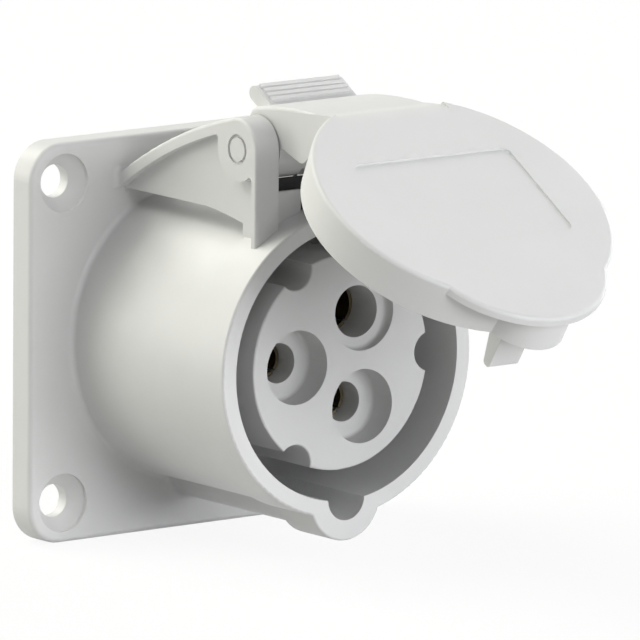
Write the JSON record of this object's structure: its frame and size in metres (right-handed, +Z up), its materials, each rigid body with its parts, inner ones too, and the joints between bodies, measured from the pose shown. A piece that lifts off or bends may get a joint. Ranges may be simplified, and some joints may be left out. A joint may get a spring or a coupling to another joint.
{
  "type": "industrial panel socket",
  "caption": "Square-flanged panel socket with a round keyed barrel, a contact carrier with pin sleeves inside, and a round lid with a gasket hinged between two arched ears.",
  "frame": {"origin": "centre of the flange's back face", "axes": "+Z up, the socket faces -Y, +Y goes into the panel, +X to the right seen from the front"},
  "size_m": [0.065, 0.1147, 0.0766],
  "materials": {
    "housing_plastic": "fine matte, light grey",
    "lid_plastic": "fine matte, light grey",
    "carrier_plastic": "fine matte, light grey",
    "pin_plastic": "fine matte, light grey",
    "gasket_rubber": "matte, mid grey",
    "buffer_rubber": "matte, black",
    "contact_brass": "turned, dull",
    "spring_steel": "drawn wire",
    "screw_steel": "zinc plated"
  },
  "bodies": {
    "housing_body": {"housing": "housing_plastic", "contact_carrier": "carrier_plastic", "terminal_block": "carrier_plastic", "contact_retainer": "carrier_plastic", "retainer_screw": "screw_steel", "carrier_screws": "screw_steel", "flange_gasket": "gasket_rubber", "hinge_buffer": "buffer_rubber", "hinge_pin": "pin_plastic", "lid_spring": "spring_steel", "contact_earth": "contact_brass", "contact_line": "contact_brass", "contact_neutral": "contact_brass", "spring_ring_earth": "spring_steel", "spring_ring_line": "spring_steel", "spring_ring_neutral": "spring_steel"},
    "lid_body": {"lid": "lid_plastic", "lid_gasket": "gasket_rubber"},
    "terminal_earth": {"terminal_screw_earth": "screw_steel", "pressure_plate_earth": "screw_steel"},
    "terminal_line": {"terminal_screw_line": "screw_steel", "pressure_plate_line": "screw_steel"},
    "terminal_neutral": {"terminal_screw_neutral": "screw_steel", "pressure_plate_neutral": "screw_steel"}
  },
  "joints": [
    {"name": "lid_hinge", "type": "hinge", "parent": "housing_body", "child": "lid_body", "pos_m": [0, -0.0366, 0.03475], "axis": [1, 0, 0], "range_deg": [-46.5, 58.5], "deforming": ["lid_spring"]},
    {"name": "terminal_earth_clamp", "type": "slide", "parent": "housing_body", "child": "terminal_earth", "axis": [-0.5, 0, -0.866], "range_m": [0, 0.0011]},
    {"name": "terminal_line_clamp", "type": "slide", "parent": "housing_body", "child": "terminal_line", "axis": [1, 0, 0], "range_m": [0, 0.0011]},
    {"name": "terminal_neutral_clamp", "type": "slide", "parent": "housing_body", "child": "terminal_neutral", "axis": [-0.5, 0, 0.866], "range_m": [0, 0.0011]}
  ]
}
